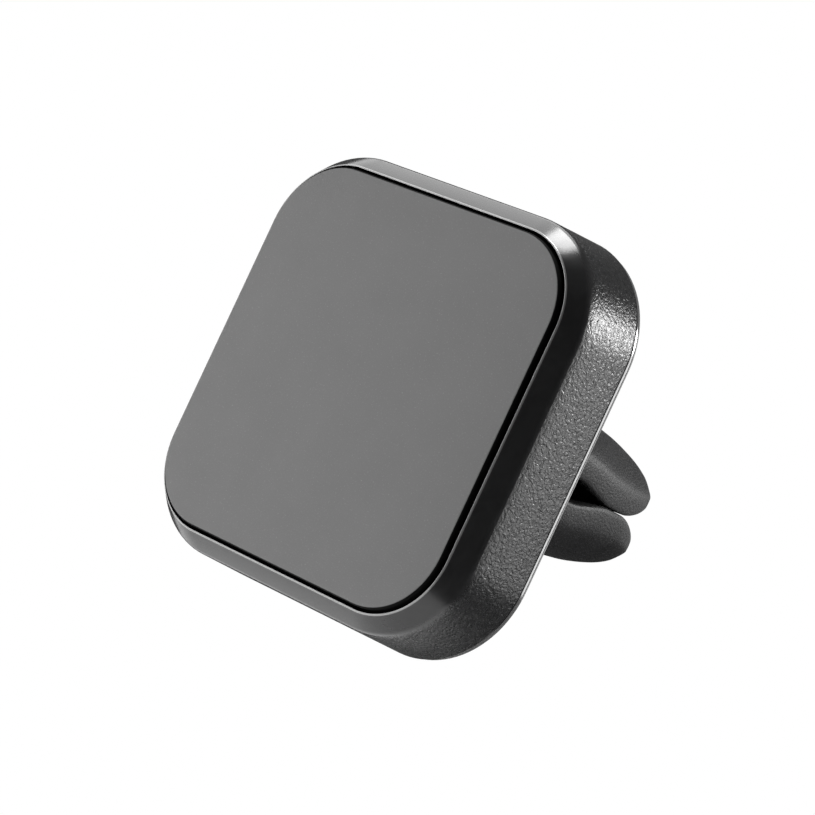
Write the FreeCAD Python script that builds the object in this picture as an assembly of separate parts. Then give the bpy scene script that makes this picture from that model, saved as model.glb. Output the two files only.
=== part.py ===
import FreeCAD, Part
import math
import os

# Square magnetic phone mount on a vent clip.  Millimetres, +Z up, +X to the right.
# The phone's contact face lies in the plane y = 0 and looks along -Y.  The origin is the centre of
# that face, and +Y runs through the ball joint and out along the clip's four fingers.

# Head: rubber pad, chamfered housing and rear cover
PAD_HALF = 18.92
PAD_CORNER = 7.4
PAD_THICK = 1.2
PAD_EDGE_ROUND = 0.25
TAPE_THICK = 0.2
TAPE_INSET = 0.5
LIP_HALF = 19.25
LIP_CORNER = 7.7
LIP_LAND = 0.1
LIP_Y = 0.52
CHAMFER_HALF = 21.0
CHAMFER_CORNER = 10.2
CHAMFER_Y = 2.31
WALL_HALF = 21.35
WALL_CORNER = 10.2
WALL_Y = 9.61
WALL_THICK = 1.6
FLOOR_THICK = 1.2
SEAM = 0.14
COVER_HALF = 21.2
COVER_CORNER = 10.0
COVER_Y = 10.8
COVER_EDGE_ROUND = 0.7
COVER_PLUG_HALF = 19.6
COVER_PLUG_CORNER = 8.5
COVER_PLUG_DEPTH = 1.0
COVER_BOSS_RADIUS = 7.0
COVER_BOSS_RISE = 0.5

# Inside the head
MAGNET_RADIUS = 6.0
MAGNET_THICK = 2.5
MAGNET_SPACING = 7.5
MAGNET_PLAY = 0.05
TRAY_HALF = 18.4
TRAY_CORNER = 6.8
YOKE_HALF = 13.8
YOKE_CORNER = 2.0
YOKE_THICK = 1.0
SCREW_SPACING = 15.0
SCREW_RADIUS = 1.0
SCREW_HEAD_RADIUS = 1.9
SCREW_HEAD_THICK = 0.9
SCREW_LENGTH = 6.4
POST_RADIUS = 2.1
POST_CLEARANCE = 0.3

# Ball joint
BALL_Y = 18.0
BALL_RADIUS = 5.0
BALL_FLAT_RADIUS = 2.6
SPIN_PLAY = 0.03
SHANK_RADIUS = 2.0
SHANK_END_Y = 20.0
NECK_RADIUS = 2.2
STUD_COLLAR_RADIUS = 3.2
STUD_FLANGE_HALF = 5.5
STUD_FLANGE_SEAT = 0.8
SOCKET_PLAY = 0.05
FRICTION_THICK = 0.57
FRICTION_ANGLE = 60.0

# Socket and lock nut
LIP_FRONT_Y = 15.8
SOCKET_FRONT_RADIUS = 6.1
THREAD_RADIUS = 7.0
THREAD_FRONT_Y = 17.5
SLIT_WIDTH = 0.8
SLIT_END_Y = 20.5
NUT_FRONT_Y = 14.9
NUT_REAR_Y = 22.9
NUT_RADIUS = 9.0
NUT_FRONT_RADIUS = 6.6
NUT_SHOULDER_Y = 16.8
NUT_PLAY = 0.06
FLUTES = 18
FLUTE_RADIUS = 0.75
FLUTE_CIRCLE = 9.35

# Clip base and fingers
BASE_FRONT_Y = 23.2
BASE_REAR_Y = 25.2
BASE_RADIUS = 7.9
ROOT_GAP = 0.4
PIVOT_RADIUS = 4.9
BARREL_RADIUS = 1.7
BARREL_HALF = 2.3
BARREL_PLAY = 0.05
SHOULDER_THICK = 0.8
FINGER_HALF = 7.2
NOSE_START_Y = 28.0
NOSE_LENGTH = 17.6
NOSE_POWER = 2.5
NOSE_POINTS = 10
FINGER_TIP_Y = 44.0
DIAGONAL_RATIO = 1.03
SLOT_HALF = 1.2
SLOT_NARROW_Y = 29.0
SLOT_MOUTH_HALF = 0.15
SLOT_MOUTH_Y = 36.8
LEAD_IN_RADIUS = 12.5
BOOT_THICK = 0.9

# Places that follow from the dimensions above
TAPE_Y = PAD_THICK
FLOOR_Y = TAPE_Y + TAPE_THICK
INSIDE_Y = FLOOR_Y + FLOOR_THICK
YOKE_Y = INSIDE_Y + MAGNET_THICK
STUD_Y = YOKE_Y + YOKE_THICK
COVER_FRONT_Y = WALL_Y + SEAM
COVER_PLUG_Y = COVER_FRONT_Y - COVER_PLUG_DEPTH
STUD_SEAT_Y = COVER_PLUG_Y + STUD_FLANGE_SEAT
STUD_COLLAR_Y = COVER_Y + COVER_BOSS_RISE
BALL_FLAT_Y = BALL_Y - math.sqrt(BALL_RADIUS ** 2 - BALL_FLAT_RADIUS ** 2)
SOCKET_RADIUS = BALL_RADIUS + SOCKET_PLAY
FRICTION_INNER = BALL_RADIUS + SPIN_PLAY
FRICTION_OUTER = FRICTION_INNER + FRICTION_THICK
FINGER_Y = BASE_REAR_Y + ROOT_GAP
BOOT_Y = FINGER_Y + SHOULDER_THICK

CORNERS = {"upper_right": (1, 1), "upper_left": (-1, 1), "lower_right": (1, -1), "lower_left": (-1, -1)}
ALONG_Y = FreeCAD.Vector(0, 1, 0)
CENTRE = FreeCAD.Vector(0, 0, 0)
SAME_PLACE = 0.01


def at(x, y, z):
    return FreeCAD.Vector(x, y, z)


def rounded_square(half, corner, y):
    """Closed wire in the plane of constant y: four straight sides and four quarter-circle corners."""
    straight = half - corner
    bulge = straight + corner * math.sqrt(0.5)
    edges = []
    for turn in range(4):
        side = Part.makeLine(at(half, y, -straight), at(half, y, straight))
        arc = Part.Arc(at(half, y, straight), at(bulge, y, bulge), at(straight, y, half)).toShape()
        for edge in (side, arc):
            edge.rotate(CENTRE, ALONG_Y, -90 * turn)
            edges.append(edge)
    return Part.Wire(edges)


def slab(half, corner, y_front, y_rear):
    """Flat block with a rounded-square outline."""
    face = Part.Face(rounded_square(half, corner, y_front))
    return face.extrude(at(0, y_rear - y_front, 0))


def tapered(half_front, corner_front, y_front, half_rear, corner_rear, y_rear):
    """Block whose rounded-square outline changes evenly from front to rear."""
    front = rounded_square(half_front, corner_front, y_front)
    rear = rounded_square(half_rear, corner_rear, y_rear)
    return Part.makeLoft([front, rear], True, True)


def rod(radius, y_front, y_rear, x=0.0, z=0.0):
    """Round bar along +Y."""
    return Part.makeCylinder(radius, y_rear - y_front, at(x, y_front, z), ALONG_Y)


def turned(profile):
    """Solid of revolution about the Y axis from a closed outline of (radius, y) points."""
    points = [at(radius, y, 0) for radius, y in profile]
    face = Part.Face(Part.makePolygon(points + points[:1]))
    return face.revolve(CENTRE, ALONG_Y, 360)


def corner_places(spacing):
    """The four places of a square pattern, as (x, z)."""
    return [(side_x * spacing, side_z * spacing) for side_x, side_z in CORNERS.values()]


def edges_at(shape, y):
    """Edges that lie wholly in the plane of constant y."""
    return [edge for edge in shape.Edges if all(abs(vertex.Y - y) < SAME_PLACE for vertex in edge.Vertexes)]


# Head

def front_pad():
    """Rubber face that the phone or its steel plate rests on."""
    pad = slab(PAD_HALF, PAD_CORNER, 0, PAD_THICK)
    return pad.makeFillet(PAD_EDGE_ROUND, edges_at(pad, 0))


def pad_adhesive():
    """Double-sided tape between the pad and the housing's floor."""
    return slab(PAD_HALF - TAPE_INSET, PAD_CORNER - TAPE_INSET, TAPE_Y, FLOOR_Y)


def countersunk_screw(x, z):
    """Self-tapping screw whose flat head is flush with the housing's floor."""
    cone_end = FLOOR_Y + SCREW_HEAD_THICK
    head = Part.makeCone(SCREW_HEAD_RADIUS, SCREW_RADIUS, SCREW_HEAD_THICK, at(x, FLOOR_Y, z), ALONG_Y)
    return head.fuse(rod(SCREW_RADIUS, cone_end, FLOOR_Y + SCREW_LENGTH, x, z)).removeSplitter()


def housing_screws():
    """Four screws under the pad that draw the rear cover onto the housing."""
    return Part.makeCompound([countersunk_screw(x, z) for x, z in corner_places(SCREW_SPACING)])


def front_housing():
    """Polished chamfer, textured wall and the floor that carries the pad, in one moulding."""
    chamfer = tapered(LIP_HALF + LIP_LAND, LIP_CORNER + LIP_LAND, LIP_Y,
                      CHAMFER_HALF, CHAMFER_CORNER, CHAMFER_Y)
    wall = tapered(CHAMFER_HALF, CHAMFER_CORNER, CHAMFER_Y, WALL_HALF, WALL_CORNER, WALL_Y)
    pad_recess = slab(LIP_HALF, LIP_CORNER, LIP_Y, FLOOR_Y)
    inside = tapered(CHAMFER_HALF - WALL_THICK, CHAMFER_CORNER - WALL_THICK, INSIDE_Y,
                     WALL_HALF - WALL_THICK, WALL_CORNER - WALL_THICK, WALL_Y)
    housing = chamfer.fuse(wall).cut([pad_recess, inside])
    return housing.cut([countersunk_screw(x, z) for x, z in corner_places(SCREW_SPACING)]).removeSplitter()


def magnet(side_x, side_z, play=0.0):
    """One disc magnet, or its pocket when play is given."""
    return rod(MAGNET_RADIUS + play, INSIDE_Y, YOKE_Y, side_x * MAGNET_SPACING, side_z * MAGNET_SPACING)


def magnet_tray():
    """Plastic carrier that spaces the four magnets."""
    tray = slab(TRAY_HALF, TRAY_CORNER, INSIDE_Y, YOKE_Y)
    pockets = [magnet(side_x, side_z, MAGNET_PLAY) for side_x, side_z in CORNERS.values()]
    hole_radius = POST_RADIUS + POST_CLEARANCE
    post_holes = [rod(hole_radius, INSIDE_Y, YOKE_Y, x, z) for x, z in corner_places(SCREW_SPACING)]
    return tray.cut(pockets + post_holes)


def yoke_plate():
    """Steel plate behind the magnets."""
    return slab(YOKE_HALF, YOKE_CORNER, YOKE_Y, STUD_Y)


def stud_flange(y_rear):
    """Square flange that keeps the stud from turning in the rear cover."""
    side = 2 * STUD_FLANGE_HALF
    return Part.makeBox(side, y_rear - STUD_Y, side, at(-STUD_FLANGE_HALF, STUD_Y, -STUD_FLANGE_HALF))


def rear_cover():
    """Back of the head: edge-rounded plate, locating plug, stud seat and four screw posts."""
    plate = slab(COVER_HALF, COVER_CORNER, COVER_FRONT_Y, COVER_Y)
    plate = plate.makeFillet(COVER_EDGE_ROUND, edges_at(plate, COVER_Y))
    plug = slab(COVER_PLUG_HALF, COVER_PLUG_CORNER, COVER_PLUG_Y, COVER_FRONT_Y)
    boss_root_y = COVER_Y - COVER_BOSS_RISE
    boss = turned([(0, boss_root_y), (COVER_BOSS_RADIUS + COVER_BOSS_RISE, boss_root_y),
                   (COVER_BOSS_RADIUS, STUD_COLLAR_Y), (0, STUD_COLLAR_Y)])
    posts = [rod(POST_RADIUS, INSIDE_Y, COVER_FRONT_Y, x, z) for x, z in corner_places(SCREW_SPACING)]
    screws = [countersunk_screw(x, z) for x, z in corner_places(SCREW_SPACING)]
    collar_hole = rod(STUD_COLLAR_RADIUS, COVER_PLUG_Y, STUD_COLLAR_Y)
    cover = plate.fuse([plug, boss] + posts).cut([stud_flange(STUD_SEAT_Y), collar_hole] + screws)
    return cover.removeSplitter()


def ball_stud():
    """Steel stud: square flange in the head, collar through the cover, neck and shank in the ball."""
    collar = rod(STUD_COLLAR_RADIUS, STUD_SEAT_Y, STUD_COLLAR_Y)
    neck = rod(NECK_RADIUS, STUD_COLLAR_Y, BALL_FLAT_Y - SPIN_PLAY)
    shank = rod(SHANK_RADIUS, BALL_FLAT_Y - SPIN_PLAY, SHANK_END_Y)
    return stud_flange(STUD_SEAT_Y).fuse([collar, neck, shank]).removeSplitter()


# Ball joint

def sphere(radius):
    """Sphere about the ball's centre, with its poles on the Y axis."""
    return Part.makeSphere(radius, at(0, BALL_Y, 0), ALONG_Y)


def ball():
    """Plastic ball, flat where the stud enters it."""
    bore = rod(SHANK_RADIUS + SPIN_PLAY, BALL_Y - BALL_RADIUS, SHANK_END_Y + SPIN_PLAY)
    flat = rod(BALL_RADIUS, BALL_Y - BALL_RADIUS, BALL_FLAT_Y)
    return sphere(BALL_RADIUS).cut([bore, flat])


def friction_cup():
    """Thin cap behind the ball that gives the joint its drag."""
    edge_y = BALL_Y + FRICTION_OUTER * math.cos(math.radians(FRICTION_ANGLE))
    cap = sphere(FRICTION_OUTER).common(rod(FRICTION_OUTER, edge_y, BALL_Y + FRICTION_OUTER))
    return cap.cut(sphere(FRICTION_INNER))


def lock_nut():
    """Fluted ring nut whose cone closes the slit socket on the ball."""
    cone_slope = (THREAD_RADIUS - SOCKET_FRONT_RADIUS) / (THREAD_FRONT_Y - LIP_FRONT_Y)
    inner_front = SOCKET_FRONT_RADIUS + NUT_PLAY - cone_slope * (LIP_FRONT_Y - NUT_FRONT_Y)
    inner_thread = THREAD_RADIUS + NUT_PLAY
    nut = turned([(inner_front, NUT_FRONT_Y), (NUT_FRONT_RADIUS, NUT_FRONT_Y), (NUT_RADIUS, NUT_SHOULDER_Y),
                  (NUT_RADIUS, NUT_REAR_Y), (inner_thread, NUT_REAR_Y), (inner_thread, THREAD_FRONT_Y)])
    flutes = []
    for step in range(FLUTES):
        angle = 2 * math.pi * step / FLUTES
        x, z = FLUTE_CIRCLE * math.cos(angle), FLUTE_CIRCLE * math.sin(angle)
        flutes.append(rod(FLUTE_RADIUS, NUT_FRONT_Y, NUT_REAR_Y, x, z))
    return nut.cut(flutes)


# Clip

def barrel(side_x, side_z, radius, half_length):
    """Round bar across a finger's root, on the line the finger bends about."""
    reach = PIVOT_RADIUS * math.sqrt(0.5)
    along = at(side_z, 0, -side_x).normalize()
    start = at(side_x * reach, BASE_REAR_Y, side_z * reach) - along * half_length
    return Part.makeCylinder(radius, 2 * half_length, start, along)


def clip_core():
    """Slit ball socket with its thread, and the round base that the fingers spring from."""
    outside = turned([(0, LIP_FRONT_Y), (SOCKET_FRONT_RADIUS, LIP_FRONT_Y), (THREAD_RADIUS, THREAD_FRONT_Y),
                      (THREAD_RADIUS, BASE_FRONT_Y), (BASE_RADIUS, BASE_FRONT_Y), (BASE_RADIUS, BASE_REAR_Y),
                      (0, BASE_REAR_Y)])
    friction_radius = FRICTION_OUTER + SOCKET_PLAY
    friction_room = sphere(friction_radius).common(rod(friction_radius, BALL_Y, BALL_Y + friction_radius))
    slits = []
    for turn in (0, 90):
        slit = Part.makeBox(2 * THREAD_RADIUS, SLIT_END_Y - LIP_FRONT_Y, SLIT_WIDTH,
                            at(-THREAD_RADIUS, LIP_FRONT_Y, -SLIT_WIDTH / 2))
        slit.rotate(CENTRE, ALONG_Y, turn)
        slits.append(slit)
    grooves = []
    for side_x, side_z in CORNERS.values():
        grooves.append(barrel(side_x, side_z, BARREL_RADIUS + BARREL_PLAY, BARREL_HALF + BARREL_PLAY))
    return outside.cut([sphere(SOCKET_RADIUS), friction_room] + slits + grooves)


def nose_outline(half, length, y_start):
    """Closed face in the XY plane: straight flanks that round into a blunt nose."""
    flank = []
    for step in range(NOSE_POINTS + 1):
        share = math.sin(math.pi / 2 * step / NOSE_POINTS)
        width = half * (1 - share ** NOSE_POWER) ** (1 / NOSE_POWER)
        flank.append((width, NOSE_START_Y + length * share))
    right = Part.BSplineCurve()
    right.interpolate([at(x, y, 0) for x, y in flank])
    left = Part.BSplineCurve()
    left.interpolate([at(-x, y, 0) for x, y in reversed(flank)])
    edges = [Part.makeLine(at(-half, y_start, 0), at(half, y_start, 0)),
             Part.makeLine(at(half, y_start, 0), at(half, NOSE_START_Y, 0)),
             right.toShape(),
             left.toShape(),
             Part.makeLine(at(-half, NOSE_START_Y, 0), at(-half, y_start, 0))]
    return Part.Face(Part.Wire(edges))


def blunt_bullet(inset, y_start):
    """Eight-sided nose shared by the four fingers: four crossed blocks of the same outline."""
    bullet = None
    depth = 2 * FINGER_HALF
    for turn in range(4):
        ratio = DIAGONAL_RATIO if turn % 2 else 1.0
        face = nose_outline(FINGER_HALF * ratio - inset, NOSE_LENGTH - inset, y_start)
        face.translate(at(0, 0, -depth))
        block = face.extrude(at(0, 0, 2 * depth))
        block.rotate(CENTRE, ALONG_Y, 45 * turn)
        bullet = block if bullet is None else bullet.common(block)
    return bullet


def slot_side(inset, y_start):
    """Block on the +X side of a slot: parallel jaws that close to a narrow mouth and a flared lead-in."""
    far = 2 * FINGER_HALF
    jaw = SLOT_HALF + inset
    mouth = SLOT_MOUTH_HALF + inset
    tip_y = FINGER_TIP_Y - inset
    sweep = math.asin((tip_y - SLOT_MOUTH_Y) / LEAD_IN_RADIUS)

    def lead_in_point(angle):
        flare = LEAD_IN_RADIUS * (1 - math.cos(angle))
        return at(mouth + flare, SLOT_MOUTH_Y + LEAD_IN_RADIUS * math.sin(angle), 0)

    tip = lead_in_point(sweep)
    edges = [Part.makeLine(at(jaw, y_start, 0), at(jaw, SLOT_NARROW_Y, 0)),
             Part.makeLine(at(jaw, SLOT_NARROW_Y, 0), at(mouth, SLOT_MOUTH_Y, 0)),
             Part.Arc(at(mouth, SLOT_MOUTH_Y, 0), lead_in_point(sweep / 2), tip).toShape(),
             Part.makeLine(tip, at(far, tip_y, 0)),
             Part.makeLine(at(far, tip_y, 0), at(far, y_start, 0)),
             Part.makeLine(at(far, y_start, 0), at(jaw, y_start, 0))]
    block = Part.Face(Part.Wire(edges)).extrude(at(0, 0, 4 * far))
    block.translate(at(0, 0, -2 * far))
    return block


def finger_blank(inset, y_start):
    """One finger in the upper right quarter, shrunk evenly by the inset."""
    beside = slot_side(inset, y_start)
    above = slot_side(inset, y_start)
    above.rotate(CENTRE, ALONG_Y, -90)
    return blunt_bullet(inset, y_start).common(beside).common(above)


def to_corner(shape, side_x, side_z):
    """Copy of an upper right piece turned or mirrored into another quarter."""
    moved = shape.copy()
    if side_x < 0:
        moved = moved.mirror(CENTRE, at(1, 0, 0))
    if side_z < 0:
        moved = moved.mirror(CENTRE, at(0, 0, 1))
    return moved


def finger_core(blank, shoulder):
    """Stiff inside of a finger: blade, shoulder at the root and the barrel it bends about."""
    root = barrel(1, 1, BARREL_RADIUS, BARREL_HALF)
    stem_half = BARREL_HALF / 2
    reach = PIVOT_RADIUS * math.sqrt(0.5)
    stem = Part.makeBox(2 * stem_half, ROOT_GAP + SHOULDER_THICK, 2 * stem_half,
                        at(reach - stem_half, BASE_REAR_Y, reach - stem_half))
    return blank.fuse([shoulder, root, stem]).removeSplitter()


def finger_boot(outer, core):
    """Rubber sock over the finger, open at the root."""
    return outer.cut(core)


def save(name, shape):
    shape.exportStep("parts/" + name + ".step")


def build():
    save("front_pad", front_pad())
    save("pad_adhesive", pad_adhesive())
    save("front_housing", front_housing())
    save("housing_screws", housing_screws())
    save("magnet_tray", magnet_tray())
    save("yoke_plate", yoke_plate())
    save("rear_cover", rear_cover())
    save("ball_stud", ball_stud())
    save("ball", ball())
    save("friction_cup", friction_cup())
    save("lock_nut", lock_nut())
    save("clip_core", clip_core())
    blade = finger_blank(BOOT_THICK, FINGER_Y)
    outer = finger_blank(0, BOOT_Y)
    shoulder = finger_blank(0, FINGER_Y).common(rod(2 * FINGER_HALF, FINGER_Y, BOOT_Y))
    core = finger_core(blade, shoulder)
    boot = finger_boot(outer, core)
    for corner, (side_x, side_z) in CORNERS.items():
        save("magnet_" + corner, magnet(side_x, side_z))
        save("finger_core_" + corner, to_corner(core, side_x, side_z))
        save("finger_boot_" + corner, to_corner(boot, side_x, side_z))


os.makedirs("parts", exist_ok=True)
build()
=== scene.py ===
import math

import bmesh
import bpy
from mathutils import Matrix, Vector


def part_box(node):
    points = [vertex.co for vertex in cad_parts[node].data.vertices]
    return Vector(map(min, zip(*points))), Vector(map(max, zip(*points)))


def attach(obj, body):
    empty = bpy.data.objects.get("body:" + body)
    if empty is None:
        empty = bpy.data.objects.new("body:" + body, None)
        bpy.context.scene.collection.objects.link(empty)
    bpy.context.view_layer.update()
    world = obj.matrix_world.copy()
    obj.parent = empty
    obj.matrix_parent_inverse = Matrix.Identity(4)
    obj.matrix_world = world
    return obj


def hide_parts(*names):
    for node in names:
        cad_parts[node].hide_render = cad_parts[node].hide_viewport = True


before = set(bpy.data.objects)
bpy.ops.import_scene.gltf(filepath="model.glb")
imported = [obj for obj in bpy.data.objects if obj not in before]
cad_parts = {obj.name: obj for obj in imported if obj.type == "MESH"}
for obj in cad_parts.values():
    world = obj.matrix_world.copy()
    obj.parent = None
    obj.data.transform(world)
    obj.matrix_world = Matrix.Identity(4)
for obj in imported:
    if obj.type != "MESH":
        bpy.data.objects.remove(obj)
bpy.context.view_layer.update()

# Square magnetic phone mount on a vent clip, in metres.  The phone face looks along -Y, +Z is up.
# Places come from the CAD nodes' boxes; the values below are the radii, thicknesses and roundings.
MM = 0.001
SNAP = 0.004 * MM
CORNER_STEPS = 23
ROUND_STEPS = 4 * (CORNER_STEPS + 1)
BAR_STEPS = 48
APART = 60 * MM
STEP_SNAP = 0.1


def low(node, axis):
    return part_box(node)[0][axis]


def high(node, axis):
    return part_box(node)[1][axis]


# Head
PAD_HALF = high("front_pad", 0)
PAD_CORNER = 7.4 * MM
PAD_BACK = high("front_pad", 1)
PAD_EDGE = 0.25 * MM
LIP_HALF = 19.25 * MM
LIP_CORNER = 7.7 * MM
LIP_LAND = 0.1 * MM
LIP_INNER_EDGE = 0.04 * MM
LIP_OUTER_EDGE = 0.05 * MM
LIP_FRONT = low("front_housing", 1)
CHAMFER_HALF = 21.0 * MM
CHAMFER_CORNER = 10.2 * MM
CHAMFER_BACK = 2.31 * MM
CHAMFER_EDGE = 0.34 * MM
WALL_HALF = high("front_housing", 0)
WALL_BACK = high("front_housing", 1)
WALL_THICK = 1.6 * MM
WALL_OUTER_EDGE = 0.12 * MM
WALL_INNER_EDGE = 0.05 * MM
FLOOR_FRONT = low("housing_screws", 1)
FLOOR_BACK = low("magnet_tray", 1)
COVER_HALF = high("rear_cover", 0)
COVER_CORNER = 10.0 * MM
SEAM = 0.14 * MM
COVER_FRONT = WALL_BACK + SEAM
COVER_BACK = 10.8 * MM
COVER_FRONT_EDGE = 0.12 * MM
COVER_BACK_EDGE = 0.7 * MM
PLUG_HALF = 19.6 * MM
PLUG_CORNER = 8.5 * MM
PLUG_FRONT = COVER_FRONT - 1.0 * MM
BOSS_RADIUS = 7.0 * MM
BOSS_BACK = high("rear_cover", 1)
BOSS_SPLAY = 0.5 * MM
BOSS_EDGE = 0.2 * MM
POST_RADIUS = 2.1 * MM
POST_BACK = COVER_FRONT - 0.1 * MM
SCREW_RADIUS = 1.0 * MM
SCREW_HEAD_RADIUS = 1.9 * MM
SCREW_HEAD_THICK = 0.9 * MM
SCREW_SPREAD = high("housing_screws", 0) - SCREW_HEAD_RADIUS
SCREW_BACK = high("housing_screws", 1)

# Ball joint and nut
FLANGE_HALF = high("ball_stud", 0)
FLANGE_CORNER = 0.5 * MM
FLANGE_FRONT = low("ball_stud", 1)
FLANGE_BACK = PLUG_FRONT + 0.8 * MM
COLLAR_RADIUS = 3.2 * MM
COLLAR_EDGE = 0.08 * MM
NECK_RADIUS = 2.2 * MM
NECK_FLARE = 0.5 * MM
NECK_FLARE_STEPS = ((1.0, 0.05 * MM), (0.25, 0.25 * MM), (0.0, 0.6 * MM))
SHANK_RADIUS = 2.0 * MM
SHANK_BACK = high("ball_stud", 1)
SHANK_EDGE = 0.2 * MM
PLAY = 0.03 * MM
BALL_RADIUS = high("ball", 0)
BALL_CENTRE = high("ball", 1) - BALL_RADIUS
BALL_FLAT = low("ball", 1)
BALL_FLAT_RADIUS = 2.6 * MM
POLE_ANGLE = 3
SOCKET_RADIUS = BALL_RADIUS + 0.05 * MM
FRICTION_ROOM = BALL_RADIUS + 0.65 * MM
SOCKET_LIP_RADIUS = 6.1 * MM
SOCKET_LIP_EDGE = 0.12 * MM
THREAD_RADIUS = 7.0 * MM
THREAD_FRONT = 17.5 * MM
SOCKET_FRONT = low("clip_core", 1)
SLIT_WIDTH = 0.8 * MM
SLIT_BACK = 20.5 * MM
BASE_RADIUS = high("clip_core", 0)
BASE_FRONT = 23.2 * MM
BASE_BACK = high("clip_core", 1)
BASE_EDGE = 0.25 * MM
NUT_FRONT = low("lock_nut", 1)
NUT_BACK = high("lock_nut", 1)
NUT_RADIUS = high("lock_nut", 0)
NUT_NOSE_RADIUS = 6.6 * MM
NUT_SHOULDER = 16.8 * MM
NUT_PLAY = 0.06 * MM
NUT_NOSE_EDGE = 0.2 * MM
NUT_MOUTH_EDGE = 0.15 * MM
NUT_FLUTES = 24
FLUTE_SHARE = 0.3
FLUTE_SIDE = 0.14 * MM
FLUTE_DEPTH = 0.4 * MM

# Fingers.  MOUTH_HALF is below zero, so that the closing gap ends early and the fingers touch for a stretch.
BOOT_FRONT = low("finger_boot_upper_right", 1)
BOOT_TIP = high("finger_boot_upper_right", 1)
FINGER_HALF = high("finger_boot_upper_right", 0)
RIDGE = 3.8 * MM
RIDGE_EDGE = 0.7 * MM
FLANK_EDGE = 0.3 * MM
SLOT_CORNER_EDGE = 0.4 * MM
NOSE_FRONT = 28.0 * MM
NOSE_LENGTH = 17.6 * MM
NOSE_POWER = 2.5
SLOT_HALF = 1.2 * MM
SLOT_NARROW = 29.0 * MM
MOUTH_HALF = -0.3 * MM
FINGERS_APART = 0.002 * MM
MOUTH_AT = 35.2 * MM
LEAD_IN_RADIUS = 14.8 * MM
TIP_ROUND = 1.5 * MM
TIP_DRAW_IN = 0.5 * MM
BOOT_WALL = 0.7 * MM
BOOT_TIP_WALL = 1.2 * MM
BOOT_STATIONS = 26
BARREL_RADIUS = 1.75 * MM
BARREL_LENGTH = 4.7 * MM
PIVOT_RADIUS = 4.9 * MM

CORNERS = {"upper_right": (1, 1), "upper_left": (-1, 1), "lower_right": (1, -1), "lower_left": (-1, -1)}


# ---- Modelling helpers ----

def select_only(*pieces):
    bpy.ops.object.select_all(action="DESELECT")
    for piece in pieces:
        piece.select_set(True)
    bpy.context.view_layer.objects.active = pieces[0]


def apply_place(piece):
    """The object goes to the world origin, unturned and unscaled, with its place in its mesh."""
    select_only(piece)
    bpy.ops.object.transform_apply(location=True, rotation=True, scale=True)


def open_edit(piece, mode="EDGE"):
    select_only(piece)
    bpy.ops.object.mode_set(mode="EDIT")
    bpy.ops.mesh.select_mode(type=mode)
    bpy.ops.mesh.select_all(action="DESELECT")


def close_edit():
    bpy.ops.object.mode_set(mode="OBJECT")


def pick(piece, kind, test):
    """In edit mode, selects the verts, edges or faces whose corner points all pass the test."""
    bpy.ops.mesh.select_all(action="DESELECT")
    mesh = bmesh.from_edit_mesh(piece.data)
    for item in getattr(mesh, kind):
        points = [item.co] if kind == "verts" else [vert.co for vert in item.verts]
        if all(test(point) for point in points):
            item.select_set(True)
    mesh.select_flush_mode()
    bmesh.update_edit_mesh(piece.data)


def off_outline(point, half, corner):
    """Distance of a point from the rounded-square outline, seen along Y.  A circle has half == corner."""
    straight = half - corner
    return math.hypot(max(abs(point.x) - straight, 0), max(abs(point.z) - straight, 0)) - corner


def ring(half, corner, y, filled):
    """One closed outline: a circle where the corner radius is the half width, else a rounded square."""
    bpy.ops.object.select_all(action="DESELECT")
    upright = (math.radians(90), 0, 0)
    if half == corner:
        bpy.ops.mesh.primitive_circle_add(vertices=ROUND_STEPS, radius=half, location=(0, y, 0),
                                          rotation=upright)
    else:
        bpy.ops.mesh.primitive_plane_add(size=2 * half, location=(0, y, 0), rotation=upright)
    piece = bpy.context.object
    apply_place(piece)
    bpy.ops.object.mode_set(mode="EDIT")
    bpy.ops.mesh.select_all(action="SELECT")
    if half != corner:
        bpy.ops.mesh.bevel(offset=corner, offset_type="OFFSET", segments=CORNER_STEPS, profile=0.5,
                           affect="VERTICES")
        bpy.ops.mesh.select_all(action="SELECT")
        if not filled:
            bpy.ops.mesh.delete(type="ONLY_FACE")
    elif filled:
        bpy.ops.mesh.edge_face_add()
    bpy.ops.object.mode_set(mode="OBJECT")
    return piece


def stack(name, rings, ends="filled"):
    """A solid skinned over a stack of outlines (half, corner, y).  ends is filled, or round where the last
    outline is bridged back to the first.  The outlines are bridged while far apart, then moved together."""
    last = len(rings) - 1
    piece = None
    for step, (half, corner, y) in enumerate(rings):
        outline = ring(half, corner, (step + 1) * APART, ends == "filled" and step in (0, last))
        if piece is None:
            piece = outline
        else:
            select_only(piece, outline)
            bpy.ops.object.join()
            bridge(piece, step - 1, step)
    if ends == "round":
        bridge(piece, 0, last)
    open_edit(piece, "VERT")
    for step, (half, corner, y) in enumerate(rings):
        apart = (step + 1) * APART
        pick(piece, "verts", lambda point: abs(point.y - apart) < SNAP)
        bpy.ops.transform.translate(value=(0, y - apart, 0))
    close_edit()
    piece.name = name
    piece.data.name = name
    face_outwards(piece)
    return piece


def face_outwards(piece):
    """Makes every face of a closed solid look outwards."""
    open_edit(piece)
    bpy.ops.mesh.select_all(action="SELECT")
    bpy.ops.mesh.normals_make_consistent(inside=False)
    if bmesh.from_edit_mesh(piece.data).calc_volume(signed=True) < 0:
        bpy.ops.mesh.flip_normals()
    close_edit()


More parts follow.
